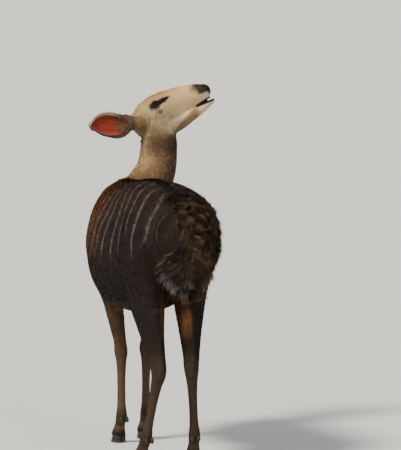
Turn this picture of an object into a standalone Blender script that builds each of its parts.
"""A nyala ewe at life size, standing and reaching up to browse, with her head turned to her right.

Metres, +Z up. She faces +Y and her right side is +X. Her soles are on z = 0. She is modelled about a line
down the middle of her body, and moved at the end to stand over the middle of her own box. The flesh is
one smooth shape to the tips of the coat. Every mass of the body is a tube of oval sections along a path,
and neighbouring masses blend where they meet. Each node is that shape meshed on a lattice, thinned, and
parted from its neighbours by flat cuts.
"""

import math

import bmesh
import bpy
import numpy as np
from mathutils import Matrix, Vector

# ---------------------------------------------------------------- driving dimensions

CUT = 0.0006  # width of the saw cut between two nodes
FAR = 1.0  # a distance that stands for "nowhere near"
MARGIN = 0.05  # how far outside its own box a mass can still touch a blend

HEAD_PITCH = math.radians(18)  # the head's long axis above level
HEAD_ROLL = math.radians(-8)  # the crown leans to her left
HEAD_EYES = Vector((0.173, 0.412, 1.166))  # midway between the eyes

# Trunk sections: y, sideways shift, height of the widest level, half width, height above it, depth below it.
TRUNK = (
    (-0.390, 0.010, 0.800, 0.106, 0.110, 0.130),
    (-0.345, 0.014, 0.797, 0.144, 0.150, 0.170),
    (-0.280, 0.012, 0.787, 0.163, 0.181, 0.195),
    (-0.200, 0.008, 0.770, 0.162, 0.206, 0.214),
    (-0.100, 0.003, 0.745, 0.165, 0.224, 0.226),
    (0.000, 0.000, 0.720, 0.174, 0.232, 0.228),
    (0.120, 0.006, 0.707, 0.173, 0.230, 0.222),
    (0.220, 0.020, 0.705, 0.154, 0.226, 0.213),
    (0.290, 0.026, 0.706, 0.126, 0.204, 0.192),
    (0.335, 0.031, 0.700, 0.088, 0.168, 0.140),
)
# Neck sections: centre, direction of the nape, half depth to the nape and to the throat, half width.
NECK = (
    ((0.014, 0.262, 0.735), (0.0, -0.35, 0.94), 0.180, 0.150, 0.110),
    ((0.050, 0.322, 0.802), (-0.20, -0.60, 0.77), 0.150, 0.125, 0.092),
    ((0.110, 0.333, 0.870), (-0.5, -0.70, 0.45), 0.116, 0.090, 0.078),
    ((0.150, 0.343, 0.940), (-0.85, -0.50, 0.10), 0.080, 0.076, 0.068),
    ((0.166, 0.360, 1.005), (-0.95, -0.30, 0.00), 0.069, 0.071, 0.060),
    ((0.174, 0.386, 1.062), (-1.0, -0.10, 0.10), 0.066, 0.064, 0.053),
    ((0.146, 0.406, 1.112), (-0.9, 0.00, 0.40), 0.056, 0.054, 0.045),
)
# Leg joints, for each leg. The toe is the middle of the coronet, where the hoof begins.
HIND_JOINTS = {
    "left": {
        "hip": (-0.076, -0.255, 0.800),
        "hock": (-0.072, -0.385, 0.330),
        "fetlock": (-0.104, -0.343, 0.100),
        "toe": (-0.114, -0.313, 0.034),
    },
    "right": {
        "hip": (0.088, -0.258, 0.800),
        "hock": (0.060, -0.345, 0.332),
        "fetlock": (0.074, -0.335, 0.100),
        "toe": (0.079, -0.306, 0.034),
    },
}
FORE_JOINTS = {
    "left": {
        "withers": (-0.040, 0.220, 0.850),
        "shoulder": (-0.074, 0.325, 0.705),
        "elbow": (-0.058, 0.200, 0.575),
        "knee": (-0.014, 0.226, 0.325),
        "fetlock": (-0.016, 0.218, 0.098),
        "toe": (-0.018, 0.244, 0.034),
    },
    "right": {
        "withers": (0.075, 0.230, 0.850),
        "shoulder": (0.124, 0.330, 0.705),
        "elbow": (0.112, 0.225, 0.580),
        "knee": (0.094, 0.276, 0.327),
        "fetlock": (0.094, 0.282, 0.098),
        "toe": (0.096, 0.308, 0.034),
    },
}
TOE_OUT = {"left": math.radians(8), "right": math.radians(-8)}  # how far the feet turn outwards
# Leg sections: from joint, to joint, share of the way, shift forwards, then half sizes to the front,
# to the back and to the side.
THIGH = (
    ("hip", "hock", -0.06, 0.015, 0.100, 0.095, 0.060),
    ("hip", "hock", 0.14, 0.030, 0.142, 0.112, 0.074),
    ("hip", "hock", 0.34, 0.044, 0.128, 0.100, 0.068),
    ("hip", "hock", 0.53, 0.036, 0.090, 0.078, 0.056),
    ("hip", "hock", 0.72, 0.024, 0.057, 0.054, 0.041),
    ("hip", "hock", 0.87, 0.008, 0.038, 0.036, 0.031),
    ("hip", "hock", 1.00, 0.000, 0.034, 0.031, 0.027),
    ("hock", "fetlock", 0.22, 0.000, 0.023, 0.025, 0.020),
    ("hock", "fetlock", 0.50, 0.000, 0.0165, 0.0190, 0.0165),
    ("hock", "fetlock", 0.82, 0.000, 0.0165, 0.0190, 0.0170),
    ("hock", "fetlock", 1.00, 0.000, 0.0215, 0.0250, 0.0215),
    ("fetlock", "toe", 0.50, 0.000, 0.0190, 0.0200, 0.0205),
    ("fetlock", "toe", 1.00, 0.000, 0.0250, 0.0250, 0.0255),
    ("fetlock", "toe", 1.35, 0.000, 0.0250, 0.0250, 0.0255),
)
HEEL_CORD = (
    ("hip", "hock", 0.58, -0.022, 0.026, 0.026, 0.026),
    ("hip", "hock", 0.80, -0.026, 0.013, 0.013, 0.013),
    ("hip", "hock", 0.95, -0.030, 0.013, 0.013, 0.012),
    ("hock", "fetlock", 0.08, -0.022, 0.016, 0.015, 0.015),
)
ARM = (
    ("withers", "shoulder", 0.00, -0.010, 0.070, 0.070, 0.040),
    ("withers", "shoulder", 0.50, -0.015, 0.084, 0.096, 0.052),
    ("shoulder", "elbow", 0.10, -0.020, 0.062, 0.104, 0.050),
    ("shoulder", "elbow", 0.75, -0.004, 0.062, 0.070, 0.046),
    ("elbow", "knee", 0.14, 0.012, 0.048, 0.046, 0.040),
    ("elbow", "knee", 0.45, 0.006, 0.037, 0.035, 0.031),
    ("elbow", "knee", 0.82, 0.000, 0.0245, 0.0245, 0.0230),
    ("elbow", "knee", 1.00, 0.002, 0.0255, 0.0255, 0.0250),
    ("knee", "fetlock", 0.18, 0.000, 0.0190, 0.0205, 0.0190),
    ("knee", "fetlock", 0.50, 0.000, 0.0155, 0.0175, 0.0155),
    ("knee", "fetlock", 0.82, 0.000, 0.0160, 0.0185, 0.0165),
    ("knee", "fetlock", 1.00, 0.000, 0.0205, 0.0240, 0.0205),
    ("fetlock", "toe", 0.50, 0.000, 0.0180, 0.0190, 0.0195),
    ("fetlock", "toe", 1.00, 0.000, 0.0240, 0.0245, 0.0245),
    ("fetlock", "toe", 1.35, 0.000, 0.0240, 0.0245, 0.0245),
)
# Tail sections: centre, half depth to the back and to the front, half width.
TAIL = (
    ((0.000, -0.372, 0.885), 0.030, 0.026, 0.030),
    ((0.000, -0.418, 0.872), 0.032, 0.030, 0.040),
    ((0.004, -0.450, 0.825), 0.036, 0.030, 0.056),
    ((0.012, -0.464, 0.765), 0.038, 0.030, 0.068),
    ((0.016, -0.464, 0.700), 0.034, 0.030, 0.062),
    ((0.019, -0.458, 0.645), 0.026, 0.026, 0.038),
    ((0.021, -0.450, 0.608), 0.015, 0.014, 0.016),
)
# Head sections in the head's own frame (+X to the nose, +Y to her left, +Z up, origin midway between
# the eyes): x, height of the widest level, half width, height above it, depth below it.
SKULL = (
    (-0.070, -0.034, 0.040, 0.040, 0.045),
    (-0.042, -0.027, 0.051, 0.053, 0.055),
    (-0.014, -0.024, 0.057, 0.060, 0.060),
    (0.022, -0.020, 0.052, 0.060, 0.058),
    (0.060, -0.015, 0.042, 0.054, 0.050),
    (0.100, -0.010, 0.034, 0.046, 0.044),
    (0.140, -0.010, 0.031, 0.037, 0.041),
    (0.166, -0.012, 0.031, 0.032, 0.035),
    (0.181, -0.013, 0.027, 0.027, 0.029),
)
JAW = (
    (-0.010, -0.070, 0.046, 0.040, 0.040),
    (0.030, -0.078, 0.042, 0.036, 0.039),
    (0.070, -0.079, 0.034, 0.032, 0.033),
    (0.105, -0.075, 0.028, 0.028, 0.026),
    (0.140, -0.070, 0.024, 0.022, 0.020),
    (0.172, -0.0605, 0.023, 0.014, 0.017),
    (0.196, -0.0525, 0.019, 0.011, 0.014),
)
# The mouth line from the side, as x and z in the head's frame: cheek, corner, then the parted lips.
CHEEK_CUT = (0.000, -0.185)
MOUTH_CORNER = (0.139, -0.0525)
UPPER_LIP = (0.240, -0.0360)
LOWER_LIP = (0.240, -0.0480)
EYE = (-0.018, 0.0420, 0.004)  # centre of the left eyeball in the head's frame
EYE_RADIUS = 0.0165
# The ears, in the head's frame with the right side folded onto the left: she turns them one by one.
EAR_BASE = (-0.086, 0.037, -0.035)
EAR_AIM = {"left": (-0.085, 0.174, 0.018), "right": (-0.1845, 0.026, 0.054)}  # towards the tip
EAR_FACING = {"left": (0.80, 0.30, 0.30), "right": (-0.02, 0.81, 0.58)}  # where the opening faces
EAR_LENGTH = 0.188
# Ear sections along its length: share of the length, half width, half depth.
EAR = (
    (0.00, 0.0210, 0.0210),
    (0.16, 0.0260, 0.0240),
    (0.35, 0.0430, 0.0320),
    (0.58, 0.0510, 0.0320),
    (0.78, 0.0425, 0.0260),
    (0.93, 0.0220, 0.0160),
)
# Its hollow in the same terms. The wall left round it is 6 mm with its coat.
EAR_HOLLOW = (
    (0.22, 0.0090, 0.0090),
    (0.30, 0.0220, 0.0190),
    (0.40, 0.0365, 0.0262),
    (0.58, 0.0450, 0.0260),
    (0.78, 0.0368, 0.0203),
    (0.90, 0.0210, 0.0120),
    (0.94, 0.0120, 0.0080),
)
EAR_RIM = 0.000  # how far the rim stands past the middle of the ear
EAR_CUT = 0.16  # share of the length where the ear is parted from the head
EAR_SPACE = ((0.036, 0.036), (0.115, 0.110))  # half width and depth of the space cut out at both ends
# The claw of a hoof: lengths from the middle of the coronet to the heel and the toe, width and heights.
CLAW_HEEL = 0.025
CLAW_TOE = 0.042
CLAW_WIDTH = 0.0235
CORONET_FRONT = 0.018  # how far the coronet reaches forwards
CORONET_HIGH = 0.034  # height of the coronet at its front
CORONET_LOW = 0.021  # and at the heel
CLEFT = 0.0016  # gap between the two claws of a foot
# Half the plan of a claw: share of the length, share of the width. The inner side is straight.
CLAW_PLAN = ((0.00, 0.00), (0.00, 0.62), (0.12, 0.92), (0.40, 1.00), (0.70, 0.86), (0.90, 0.50), (1.00, 0.12))
DEW_CLAW = (0.0075, 0.0065, 0.0115)  # half sizes
# Where the nodes are parted.
NECK_CUT = ((0.035, 0.335, 0.800), (0.30, 0.72, 0.62))  # a point and the direction of the neck
HEAD_CUT = ((0.150, 0.350, 1.042), (-0.25, 0.00, 0.97))
THIGH_TOP = ((-0.60, 0.745), (-0.04, 0.510))  # y and height at both ends of the cut over the thigh
ARM_TOP = ((0.06, 0.550), (0.44, 0.565))
ARM_INNER = {"left": (-0.014, 0.030), "right": (0.060, 0.040)}  # side of the brisket, and between the legs
BRISKET = 0.470  # height of the brisket's underside
HOCK_CUT = 0.372
KNEE_CUT = 0.362
FETLOCK_CUT = 0.116


# ---------------------------------------------------------------- masses of the body


def smooth_rows(rows, steps=6):
    """Rows read off a smooth curve through the given rows: Catmull-Rom, with `steps` rows to a stretch."""
    rows = np.array(rows, float)
    padded = np.vstack([2 * rows[0] - rows[1], rows, 2 * rows[-1] - rows[-2]])
    share = np.arange(steps)[:, None] / steps
    out = []
    for a, b, c, d in zip(padded, padded[1:], padded[2:], padded[3:]):
        curve = 2 * b + (c - a) * share + (2 * a - 5 * b + 4 * c - d) * share**2
        out.append((curve + (3 * b - a - 3 * c + d) * share**3) / 2)
    return np.vstack(out + [rows[-1:]])


class Tube:
    """Oval sections along a path. A row holds the centre, the direction of the upper side, the half depth
    to the upper and to the lower side, and the half width."""

    def __init__(self, rows, blend, square=2.0):
        rows = smooth_rows(rows)
        self.centre, self.upper, self.size = rows[:, :3], rows[:, 3:6], rows[:, 6:9]
        self.blend, self.square = blend, square
        reach = self.size.max(1)[:, None] + MARGIN
        self.low, self.high = (self.centre - reach).min(0), (self.centre + reach).max(0)

    def distance(self, p):
        """Distance from each point to the surface, below zero inside, near enough close to the surface."""
        near = ((p[:, None, :] - self.centre) ** 2).sum(2).argmin(1)
        best = np.full(len(p), FAR)
        for first in (near - 1, near):
            first = np.clip(first, 0, len(self.centre) - 2)
            start, along = self.centre[first], self.centre[first + 1] - self.centre[first]
            length = np.linalg.norm(along, axis=1, keepdims=True)
            axis = along / length
            share = np.clip(((p - start) * axis).sum(1, keepdims=True) / length, 0, 1)
            q = p - start - along * share
            up = self.upper[first] * (1 - share) + self.upper[first + 1] * share
            up = up - axis * (up * axis).sum(1, keepdims=True)
            up /= np.linalg.norm(up, axis=1, keepdims=True)
            size = self.size[first] * (1 - share) + self.size[first + 1] * share
            u = (q * up).sum(1)
            v = (q * np.cross(axis, up)).sum(1)
            w = (q * axis).sum(1)
            half = np.stack([np.where(u > 0, size[:, 0], size[:, 1]), size[:, 2], size[:, 1:].min(1)], 1)
            part = np.abs(np.stack([u, v, w], 1)) / half
            level = (part**self.square).sum(1) ** (1 / self.square)
            slope = np.linalg.norm(part ** (self.square - 1) / half, axis=1)
            slope /= np.maximum(level, 1e-9) ** (self.square - 1)
            best = np.minimum(best, (level - 1) / np.maximum(slope, 1 / half.max(1)))
        return best


def blended(a, b, blend):
    """The nearer of two surfaces, with a rounded hollow where they meet."""
    close = np.clip(1 - np.abs(a - b) / blend, 0, 1)
    return np.minimum(a, b) - close**3 * blend / 6


def union(masses, p, start=None):
    """Distance from each point to the blended masses."""
    found = np.full(len(p), FAR) if start is None else start.copy()
    for mass in masses:
        near = ((p > mass.low) & (p < mass.high)).all(1)
        if near.any():
            found[near] = blended(found[near], mass.distance(p[near]), mass.blend)
    return found


def level_tube(rows, blend, square=2.0):
    """A tube along +Y from rows of y, x, z, half width, height above and depth below."""
    return Tube([(x, y, z, 0, 0, 1, up, down, wide) for y, x, z, wide, up, down in rows], blend, square)


def head_tube(rows, blend):
    """A tube along +X of the head's frame from rows of x, z, half width, height above and depth below."""
    return Tube([(x, 0, z, 0, 0, 1, up, down, wide) for x, z, wide, up, down in rows], blend)


def leg_tube(rows, joints, toe_out, blend):
    """A tube from leg sections. Its upper side is the leg's front."""
    front = Vector((-math.sin(toe_out), math.cos(toe_out), 0))
    made = []
    for start, end, share, forward, fore, back, side in rows:
        centre = Vector(joints[start]).lerp(Vector(joints[end]), share) if share <= 1 else None
        if centre is None:
            centre = Vector(joints[end]) + (Vector(joints[end]) - Vector(joints[start])) * (share - 1)
        made.append((*(centre + front * forward), *front, fore, back, side))
    return Tube(made, blend)


BODY = [level_tube(TRUNK, blend=0.04, square=2.25)]
BODY.append(Tube([(*c, *d, up, down, wide) for c, d, up, down, wide in NECK], blend=0.06))
for side in ("left", "right"):
    BODY.append(leg_tube(THIGH, HIND_JOINTS[side], TOE_OUT[side], blend=0.035))
    BODY.append(leg_tube(HEEL_CORD, HIND_JOINTS[side], TOE_OUT[side], blend=0.012))
    BODY.append(leg_tube(ARM, FORE_JOINTS[side], TOE_OUT[side], blend=0.035))
TAIL_MASS = Tube([(*c, 0, -1, 0.35, back, front, wide) for c, back, front, wide in TAIL], blend=0.02)

HEAD_FRAME = Matrix.Translation(HEAD_EYES) @ Matrix.Rotation(-HEAD_PITCH, 4, "Y")
HEAD_FRAME = HEAD_FRAME @ Matrix.Rotation(HEAD_ROLL, 4, "X")
HEAD_TURN = np.array(HEAD_FRAME.to_3x3())
HEAD_MASSES = [head_tube(SKULL, blend=0.02), head_tube(JAW, blend=0.02)]


def in_head(p):
    """Points in the head's frame, with her right side folded onto her left."""
    local = (p - np.array(HEAD_EYES)) @ HEAD_TURN
    right = local[:, 1] < 0
    local[:, 1] = np.abs(local[:, 1])
    return local, right


class Ear:
    """An ear: a round-ended tube cut open along its facing side and hollowed to a thin wall."""

    def __init__(self, side):
        self.base, aim = np.array(EAR_BASE), np.array(EAR_AIM[side])
        self.aim = aim / np.linalg.norm(aim)
        face = np.array(EAR_FACING[side])
        face -= self.aim * (face @ self.aim)
        self.face = face / np.linalg.norm(face)
        outer, inner = [], []
        for share, wide, deep in EAR:
            outer.append((*self.along(share), *self.face, deep, deep, wide))
        for share, wide, deep in EAR_HOLLOW:
            inner.append((*self.along(share), *self.face, deep, deep, wide))
        self.outer, self.inner = Tube(outer, 0.02), Tube(inner, 0.02)

    def along(self, share):
        """The middle of the ear at a share of its length."""
        return self.base + self.aim * share * EAR_LENGTH

    def distance(self, q):
        """Distance to the ear from points in the head's frame."""
        share = (q - self.base) @ self.aim / EAR_LENGTH
        rise = (q - self.base) @ self.face
        closed = np.clip((0.28 - share) / 0.08, 0, 1) * 0.05
        hollow = -blended(-self.outer.distance(q), self.inner.distance(q), 0.004)
        return -blended(-hollow, closed + EAR_RIM - rise, 0.004)


EARS = {"left": Ear("left"), "right": Ear("right")}


def head_distance(p):
    """The head with its ears."""
    q, right = in_head(p)
    found = union(HEAD_MASSES, q)
    for side, ear in EARS.items():
        near = ((q > ear.outer.low) & (q < ear.outer.high)).all(1) & (right == (side == "right"))
        if near.any():
            found[near] = blended(found[near], ear.distance(q[near]), 0.018)
    return found


def flesh(p):
    """Distance from each point to the coat's surface, without tail and ears."""
    found = union(BODY, p)
    near = np.linalg.norm(p - np.array(HEAD_EYES), axis=1) < 0.40
    if near.any():
        found[near] = blended(found[near], head_distance(p[near]), 0.03)
    return found


# ---------------------------------------------------------------- from a field to a mesh


def lattice(counts):
    """The whole-number points of a lattice."""
    return np.stack(np.meshgrid(*(np.arange(n) for n in counts), indexing="ij"), -1).reshape(-1, 3)


def sampled(field, low, cell, counts, stride=4):
    """The field on a lattice. A coarse lattice finds the blocks near the surface, and only these are
    worked out in full. The others keep the sign of their coarse corner."""
    blocks = (counts - 1) // stride + 1
    coarse = field(lattice(blocks + 1) * (cell * stride) + low).reshape(blocks + 1)
    least = np.full(blocks, FAR)
    for step in np.ndindex(2, 2, 2):
        least = np.minimum(least, np.abs(coarse[tuple(slice(s, s + n) for s, n in zip(step, blocks))]))
    every = lattice(counts)
    block = tuple((every // stride).T)
    value = np.where(coarse[block] < 0, -FAR, FAR)
    near = np.flatnonzero(least[block] < cell * stride * 1.6)
    for group in np.array_split(near, 1 + len(near) // 100000):
        value[group] = field(every[group] * cell + low)
    return value.reshape(counts)


def untangled(value):
    """The lattice values, with one more point inside wherever two diagonal corners of a lattice square
    are inside alone. Without this the surface could touch itself along an edge."""
    for _ in range(8):
        inside = value < 0
        extra = np.zeros_like(inside)
        for axis in range(3):
            spot = {}
            for di in (0, 1):
                for dj in (0, 1):
                    where = [slice(None)] * 3
                    where[(axis + 1) % 3] = slice(di, value.shape[(axis + 1) % 3] - 1 + di)
                    where[(axis + 2) % 3] = slice(dj, value.shape[(axis + 2) % 3] - 1 + dj)
                    spot[di, dj] = tuple(where)
            a, b, c, d = (inside[spot[key]] for key in ((0, 0), (1, 0), (0, 1), (1, 1)))
            extra[spot[1, 0]] |= a & d & ~b & ~c
            extra[spot[0, 0]] |= b & c & ~a & ~d
        if not extra.any():
            break
        value = np.where(extra, -1e-4, value)
    return value


def surface_net(field, low, high, cell):
    """Points and four-sided faces of the field's zero surface inside a box: one point in every lattice
    cell that the surface crosses, and a face round every lattice edge that it crosses."""
    counts = np.ceil((np.array(high) - np.array(low)) / cell).astype(int) + 1
    value = untangled(sampled(field, np.array(low), cell, counts))
    inside = value < 0
    cells = counts - 1
    total, number = np.zeros((*cells, 3)), np.zeros(cells)
    corner = {}
    for step in np.ndindex(2, 2, 2):
        corner[step] = tuple(slice(s, s + n) for s, n in zip(step, cells))
    for step, here in corner.items():
        for axis in range(3):
            if step[axis]:
                continue
            there = corner[tuple(1 if i == axis else s for i, s in enumerate(step))]
            crossed = inside[here] != inside[there]
            gap = np.where(crossed, value[here] - value[there], 1)
            place = np.broadcast_to(np.array(step, float), total.shape).copy()
            place[..., axis] += np.where(crossed, value[here] / gap, 0)
            total += place * crossed[..., None]
            number += crossed
    used = number > 0
    index = np.full(cells, -1)
    index[used] = np.arange(used.sum())
    points = (np.argwhere(used) + total[used] / number[used][:, None]) * cell + low
    faces = []
    for axis in range(3):
        i, j = (axis + 1) % 3, (axis + 2) % 3
        core = [slice(1, -1)] * 3
        core[axis] = slice(0, -1)
        ahead = list(core)
        ahead[axis] = slice(1, None)
        change = inside[tuple(core)].astype(int) - inside[tuple(ahead)].astype(int)
        at = np.argwhere(change != 0)
        sign = change[change != 0]
        at[:, i] += 1
        at[:, j] += 1
        around = []
        for di, dj in ((1, 1), (0, 1), (0, 0), (1, 0)):
            cell_at = at.copy()
            cell_at[:, i] -= di
            cell_at[:, j] -= dj
            around.append(index[tuple(cell_at.T)])
        around = np.stack(around, 1)
        faces.append(np.where(sign[:, None] > 0, around, around[:, ::-1]))
    return points, np.concatenate(faces)


def settled(field, points, reach=0.0005, rounds=3):
    """The points moved onto the field's zero surface along its slope."""
    for _ in range(rounds):
        slope = np.stack(
            [(field(points + step) - field(points - step)) / (2 * reach) for step in np.eye(3) * reach], 1
        )
        scale = np.maximum((slope**2).sum(1), 0.25)
        points = points - slope * (field(points) / scale)[:, None]
    return points


def meshed(name, field, low, high, cell, triangles):
    """An object on the field's surface, thinned to about the given number of triangles."""
    points, faces = surface_net(field, low, high, cell)
    points = settled(field, points)
    mesh = bpy.data.meshes.new(name)
    mesh.from_pydata(points.tolist(), [], faces.tolist())
    mesh.update()
    made = bpy.data.objects.new(name, mesh)
    bpy.context.scene.collection.objects.link(made)
    thin = made.modifiers.new("thin", "DECIMATE")
    thin.ratio = triangles / (2 * len(faces))
    thin.use_collapse_triangulate = True
    return applied(made)


def applied(made):
    """The object with its modifiers worked into its mesh."""
    depsgraph = bpy.context.evaluated_depsgraph_get()
    mesh = bpy.data.meshes.new_from_object(made.evaluated_get(depsgraph))
    made.modifiers.clear()
    made.data = mesh
    return made


def solid(name, points):
    """The convex solid round some points."""
    shape = bmesh.new()
    for point in points:
        shape.verts.new(point)
    bmesh.ops.convex_hull(shape, input=shape.verts)
    return finished(name, shape)


def finished(name, shape):
    """An object from a bmesh, with its faces outwards."""
    bmesh.ops.recalc_face_normals(shape, faces=shape.faces)
    mesh = bpy.data.meshes.new(name)
    shape.to_mesh(mesh)
    shape.free()
    made = bpy.data.objects.new(name, mesh)
    bpy.context.scene.collection.objects.link(made)
    return made


def cut(made, tool, operation):
    """The exact difference or overlap of an object and a tool."""
    step = made.modifiers.new("cut", "BOOLEAN")
    step.operation = operation
    step.solver = "EXACT"
    step.object = tool
    return applied(made)


def copied(made, name):
    """A copy of an object with its own mesh."""
    twin = bpy.data.objects.new(name, made.data.copy())
    bpy.context.scene.collection.objects.link(twin)
    return twin


def removed(*tools):
    """Tools taken away after use."""
    for tool in tools:
        bpy.data.objects.remove(tool)


def box(low, high, grow=0.0):
    """The corners of a box."""
    ends = [(a - grow, b + grow) for a, b in zip(low, high)]
    return [(x, y, z) for x in ends[0] for y in ends[1] for z in ends[2]]


def halved(made, point, direction, keep_ahead):
    """The object cut flat through a point, keeping the side ahead of the plane or behind it."""
    shape = bmesh.new()
    shape.from_mesh(made.data)
    parts = shape.verts[:] + shape.edges[:] + shape.faces[:]
    done = bmesh.ops.bisect_plane(
        shape,
        geom=parts,
        dist=1e-7,
        plane_co=point,
        plane_no=direction,
        clear_inner=keep_ahead,
        clear_outer=not keep_ahead,
    )
    edge = [part for part in done["geom_cut"] if isinstance(part, bmesh.types.BMEdge)]
    bmesh.ops.holes_fill(shape, edges=edge, sides=0)
    bmesh.ops.triangulate(shape, faces=shape.faces[:])
    shape.to_mesh(made.data)
    shape.free()
    return made


def parted(made, name, point, direction):
    """Two objects either side of a thin flat cut: the one behind it, and the one ahead as `name`."""
    direction = Vector(direction).normalized()
    ahead = copied(made, name)
    halved(ahead, Vector(point) + direction * CUT / 2, direction, True)
    halved(made, Vector(point) - direction * CUT / 2, direction, False)
    return made, ahead


def taken(made, name, low, high):
    """The part of an object inside a box, and the object without it."""
    inside, outside = solid("inside", box(low, high)), solid("outside", box(low, high, CUT))
    piece = cut(copied(made, name), inside, "INTERSECT")
    cut(made, outside, "DIFFERENCE")
    removed(inside, outside)
    return piece


def pieces(made):
    """The separate bodies of an object, as the sorted sets of their vertices' numbers."""
    shape = bmesh.new()
    shape.from_mesh(made.data)
    left, groups = set(shape.verts), []
    while left:
        group, edge = set(), [left.pop()]
        while edge:
            vertex = edge.pop()
            group.add(vertex.index)
            for near in vertex.link_edges:
                other = near.other_vert(vertex)
                if other in left:
                    left.discard(other)
                    edge.append(other)
        groups.append(group)
    shape.free()
    return sorted(groups, key=len, reverse=True)


def only(made, name, group):
    """A new object with one of the bodies of an object."""
    shape = bmesh.new()
    shape.from_mesh(made.data)
    bmesh.ops.delete(shape, geom=[v for v in shape.verts if v.index not in group], context="VERTS")
    return finished(name, shape)


def toward(side, value):
    """A sideways measure on her left (below zero) or right side."""
    return -value if side == "left" else value


def leg_box(side, inner, top, grow=0.0, foot=-0.05):
    """The corners of the space of one leg: below a slanted top, and outside one distance from the middle
    beside the body and another between the legs."""
    beside, between = (x - toward(side, grow) for x in inner)
    corners = []
    for y, z in top:
        corners += [(beside, y, z + grow), (between, y, BRISKET), (between, y, foot)]
        corners += [(toward(side, 0.40), y, z + grow), (toward(side, 0.40), y, foot)]
    return corners


def sphere(name, centre, size, frame, rounds):
    """A faceted egg with the given half sizes on the axes of a frame."""
    shape = bmesh.new()
    place = frame @ Matrix.Translation(centre) @ Matrix.Diagonal((*size, 1))
    bmesh.ops.create_icosphere(shape, subdivisions=rounds, radius=1.0, matrix=place)
    return finished(name, shape)


def set_in(made, name, centre, size, frame, rounds):
    """An egg let into an object, with a thin gap round it."""
    socket = sphere("socket", centre, [one + CUT for one in size], frame, rounds)
    cut(made, socket, "DIFFERENCE")
    removed(socket)
    return sphere(name, centre, size, frame, rounds)


def foot_frame(joints, toe_out):
    """The frame of a foot: +X to the side, +Y forwards, on the ground under the coronet."""
    x, y, _ = joints["toe"]
    return Matrix.Translation((x, y, 0)) @ Matrix.Rotation(toe_out, 4, "Z")


def coronet_height(forward):
    """Height of the coronet at a distance ahead of its middle."""
    return CORONET_LOW + (CORONET_HIGH - CORONET_LOW) * (forward + CLAW_HEEL) / (CORONET_FRONT + CLAW_HEEL)


def claw(name, frame, out):
    """One claw of a hoof, on a flat sole. `out` is 1 for the claw on the foot's +X side."""
    points = []
    for along, across in CLAW_PLAN:
        side = out * (CLEFT / 2 + across * CLAW_WIDTH)
        ground = -CLAW_HEEL + along * (CLAW_HEEL + CLAW_TOE)
        rim = -CLAW_HEEL + along * (CLAW_HEEL + CORONET_FRONT)
        points.append(frame @ Vector((side, ground, 0)))
        points.append(frame @ Vector((side * 0.97, rim, coronet_height(rim) - CUT)))
    inner = out * CLEFT / 2
    points.append(frame @ Vector((inner, CLAW_TOE, 0)))
    points.append(frame @ Vector((inner, CORONET_FRONT, coronet_height(CORONET_FRONT) - CUT)))
    for point in points[0::2]:
        point.z = 0
    return solid(name, points)


def coloured(made, rgb, roughness):
    """The object with a plain material of its own."""
    material = bpy.data.materials.new(made.name)
    material.use_nodes = True
    shader = material.node_tree.nodes["Principled BSDF"]
    shader.inputs["Base Color"].default_value = (*rgb, 1)
    shader.inputs["Roughness"].default_value = roughness
    made.data.materials.clear()
    made.data.materials.append(material)


def largest(made):
    """The object without the slivers that a cut may leave beside its main body."""
    name = made.name
    kept = only(made, "kept", pieces(made)[0])
    removed(made)
    kept.name = name
    return kept


# ---------------------------------------------------------------- nodes

for old in list(bpy.data.objects):
    bpy.data.objects.remove(old)

BROWN = (0.115, 0.070, 0.042)
TAN = (0.300, 0.180, 0.095)
PALE = (0.420, 0.270, 0.150)
HORN = (0.015, 0.013, 0.012)

# Trunk, neck and the four legs, from one mesh.
trunk = meshed("trunk", flesh, (-0.25, -0.53, -0.02), (0.30, 0.47, 1.09), 0.0065, 3250)
trunk, above = parted(trunk, "above", *HEAD_CUT)
removed(above)
trunk, neck = parted(trunk, "neck", *NECK_CUT)
coloured(neck, TAN, 0.8)
legs = []
for end, sets in (("hind", HIND_JOINTS), ("fore", FORE_JOINTS)):
    for side, joints in sets.items():
        if end == "hind":
            inner, top = [toward(side, CUT / 2)] * 2, THIGH_TOP
            upper_name, middle = "thigh_" + side, HOCK_CUT
        else:
            inner, top = ARM_INNER[side], ARM_TOP
            upper_name, middle = "forearm_" + side, KNEE_CUT
        inside = solid("inside", leg_box(side, inner, top))
        outside = solid("outside", leg_box(side, inner, top, CUT))
        upper = largest(cut(copied(trunk, upper_name), inside, "INTERSECT"))
        cut(trunk, outside, "DIFFERENCE")
        removed(inside, outside)
        lower, upper_part = parted(upper, "rest", (0, 0, middle), (0, 0, 1))
        lower.name, upper_part.name = end + "_cannon_" + side, upper_name
        pastern, cannon = parted(lower, "rest", (0, 0, FETLOCK_CUT), (0, 0, 1))
        pastern.name, cannon.name = end + "_pastern_" + side, end + "_cannon_" + side
        foot = foot_frame(joints, TOE_OUT[side])
        rise = (CORONET_HIGH - CORONET_LOW) / (CORONET_FRONT + CLAW_HEEL)
        face = foot.to_3x3() @ Vector((0, -rise, 1))
        halved(pastern, foot @ Vector((0, 0, coronet_height(0))), face.normalized(), True)
        height = joints["fetlock"][2] - 0.012
        back = foot_frame({"toe": joints["fetlock"]}, TOE_OUT[side])
        for word, out in (("outer", 1), ("inner", -1)):
            lean = out * (1 if side == "right" else -1)
            hoof = claw("%s_claw_%s_%s" % (end, word, side), foot, lean)
            coloured(hoof, HORN, 0.4)
            dew_name = "%s_dewclaw_%s_%s" % (end, word, side)
            dew = set_in(pastern, dew_name, (lean * 0.0115, -0.0225, height), DEW_CLAW, back, 2)
            coloured(dew, HORN, 0.45)
        for piece in (upper_part, cannon, pastern):
            coloured(piece, BROWN, 0.85)
coloured(trunk, BROWN, 0.85)

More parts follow.
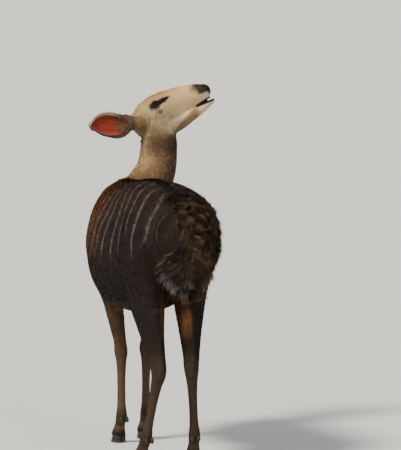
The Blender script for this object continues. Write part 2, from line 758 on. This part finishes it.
# Tail, laid against the rump.
tail = meshed("tail", TAIL_MASS.distance, (-0.10, -0.53, 0.52), (0.12, -0.30, 0.96), 0.005, 420)
rump = copied(trunk, "rump")
swell = rump.modifiers.new("swell", "DISPLACE")
swell.strength, swell.mid_level = CUT * 2, 0
applied(rump)
tail = largest(cut(tail, rump, "DIFFERENCE"))
removed(rump)
coloured(tail, BROWN, 0.9)

# Head: the jaw is parted along the mouth and cheek, then ears and eyes.
head = meshed("head", flesh, (-0.14, 0.24, 1.00), (0.43, 0.67, 1.32), 0.0026, 1640)
below, upper_head = parted(head, "upper_head", *HEAD_CUT)
removed(below)
head = upper_head
corner, cheek = Vector((MOUTH_CORNER[0], 0, MOUTH_CORNER[1])), Vector((CHEEK_CUT[0], 0, CHEEK_CUT[1]))
side_step = Vector((0, 0.15, 0))
wedge = []
for x, z in (MOUTH_CORNER, UPPER_LIP, LOWER_LIP):
    for edge in (side_step, -side_step):
        wedge.append(HEAD_FRAME @ (Vector((x, 0, z)) + edge))
along = (cheek - corner).normalized()
across = Vector((-along.z, 0, along.x)) * CUT / 2
plate = []
for spot in (corner - along * 0.0015, cheek):
    for edge in (side_step, -side_step):
        plate += [HEAD_FRAME @ (spot + edge + across), HEAD_FRAME @ (spot + edge - across)]
for corners in (wedge, plate):
    knife = solid("knife", corners)
    cut(head, knife, "DIFFERENCE")
    removed(knife)
groups = pieces(head)
jaw = only(head, "jaw", groups[1])
skull = only(head, "head", groups[0])
removed(head)
head = skull
coloured(jaw, TAN, 0.8)
for side in ("left", "right"):
    mirror = Matrix.Identity(4) if side == "left" else Matrix.Scale(-1, 4, Vector((0, 1, 0)))
    frame = HEAD_FRAME @ mirror
    aim, face = Vector(EARS[side].aim), Vector(EARS[side].face)
    wide = aim.cross(face)
    start = Vector(EARS[side].along(EAR_CUT))
    spaces = []
    for gap in (0, CUT):
        corners = []
        for far, (half_wide, half_deep) in zip((-gap, EAR_LENGTH * 1.2), EAR_SPACE):
            for across in (-half_wide, half_wide):
                for high in (-half_deep, half_deep):
                    corners.append(frame @ (start + aim * far + wide * across + face * high))
        spaces.append(solid("space", corners))
    ear = cut(copied(head, "ear_" + side), spaces[0], "INTERSECT")
    cut(head, spaces[1], "DIFFERENCE")
    removed(*spaces)
    coloured(ear, TAN, 0.8)
    eye = set_in(head, "eye_" + side, EYE, [EYE_RADIUS] * 3, frame, 3)
    coloured(eye, HORN, 0.1)
coloured(head, PALE, 0.8)

# The origin is brought under the middle of the whole animal, on the floor.
every = np.array([corner.co for made in bpy.data.objects for corner in made.data.vertices])
middle = (every.min(0) + every.max(0)) / 2
for made in bpy.data.objects:
    made.data.transform(Matrix.Translation((-middle[0], -middle[1], -every[:, 2].min())))
